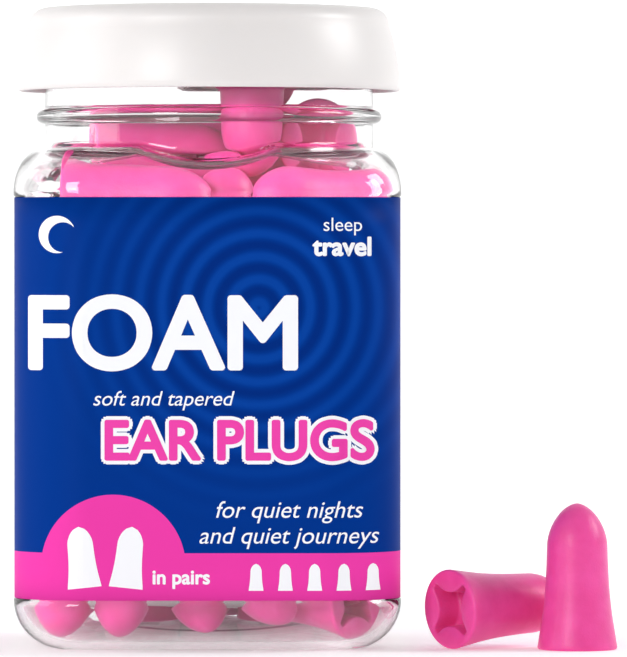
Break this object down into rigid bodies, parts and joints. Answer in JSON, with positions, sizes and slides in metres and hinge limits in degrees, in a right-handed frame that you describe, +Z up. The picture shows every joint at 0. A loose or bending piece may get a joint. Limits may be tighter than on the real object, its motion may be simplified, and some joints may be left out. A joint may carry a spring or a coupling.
{
  "type": "foam ear plugs in a jar",
  "caption": "Soft foam ear plugs in a square clear screw-cap jar with a wrap label, and two loose plugs beside it.",
  "frame": {"origin": "centre of the jar's foot, on the surface it stands on", "axes": "+Z up along the jar's axis, -Y out of the label's front, +X to the right towards the loose plugs"},
  "size_m": [0.1042, 0.067, 0.1112],
  "materials": {
    "clear_pet": "clear blow-moulded PET, glossy",
    "label_film": "printed film, satin gloss",
    "white_polypropylene": "white moulded polypropylene, smooth satin",
    "liner_board": "pulp board with a foam face, matt",
    "foam": "slow-recovery polyurethane foam with a moulded skin, matt"
  },
  "bodies": {
    "jar": {"jar": "clear_pet", "label": "label_film", "plug_pair_01": "foam", "plug_pair_02": "foam", "plug_pair_03": "foam", "plug_pair_04": "foam", "plug_pair_05": "foam", "plug_pair_06": "foam", "plug_pair_07": "foam", "plug_pair_08": "foam", "plug_pair_09": "foam", "plug_pair_10": "foam", "plug_pair_11": "foam", "plug_pair_12": "foam", "plug_pair_13": "foam", "plug_pair_14": "foam", "plug_pair_15": "foam", "plug_pair_16": "foam", "plug_pair_17": "foam", "plug_pair_18": "foam", "plug_pair_19": "foam", "plug_pair_20": "foam", "plug_pair_21": "foam", "plug_pair_22": "foam", "plug_pair_23": "foam", "plug_pair_24": "foam", "plug_pair_25": "foam", "plug_pair_26": "foam", "plug_pair_27": "foam", "plug_pair_28": "foam", "plug_pair_29": "foam", "plug_pair_30": "foam", "plug_pair_31": "foam", "plug_pair_32": "foam", "plug_pair_33": "foam", "plug_pair_34": "foam", "plug_pair_35": "foam", "plug_pair_36": "foam", "plug_pair_37": "foam"},
    "liner": {"cap_liner": "liner_board"},
    "cap": {"cap": "white_polypropylene"},
    "plug_upright": {"loose_plug_upright": "foam"},
    "plug_lying": {"loose_plug_lying": "foam"}
  },
  "joints": [
    {"name": "cap_lift", "type": "slide", "parent": "jar", "child": "liner", "axis": [0, 0, 1], "range_m": [0, 0.0315]},
    {"name": "cap_turn", "type": "hinge", "parent": "liner", "child": "cap", "pos_m": [0, 0, 0.1], "axis": [0, 0, 1], "range_deg": [0, 2700]},
    {"name": "pick_up_upright", "type": "slide", "parent": "jar", "child": "plug_upright", "axis": [0, 0, 1], "range_m": [0, 0.06]},
    {"name": "pick_up_lying", "type": "slide", "parent": "jar", "child": "plug_lying", "axis": [0, 0, 1], "range_m": [0, 0.06]}
  ],
  "couplings": [
    {"joint": "cap_turn", "follows": "cap_lift", "rad_per_m": 1496}
  ]
}
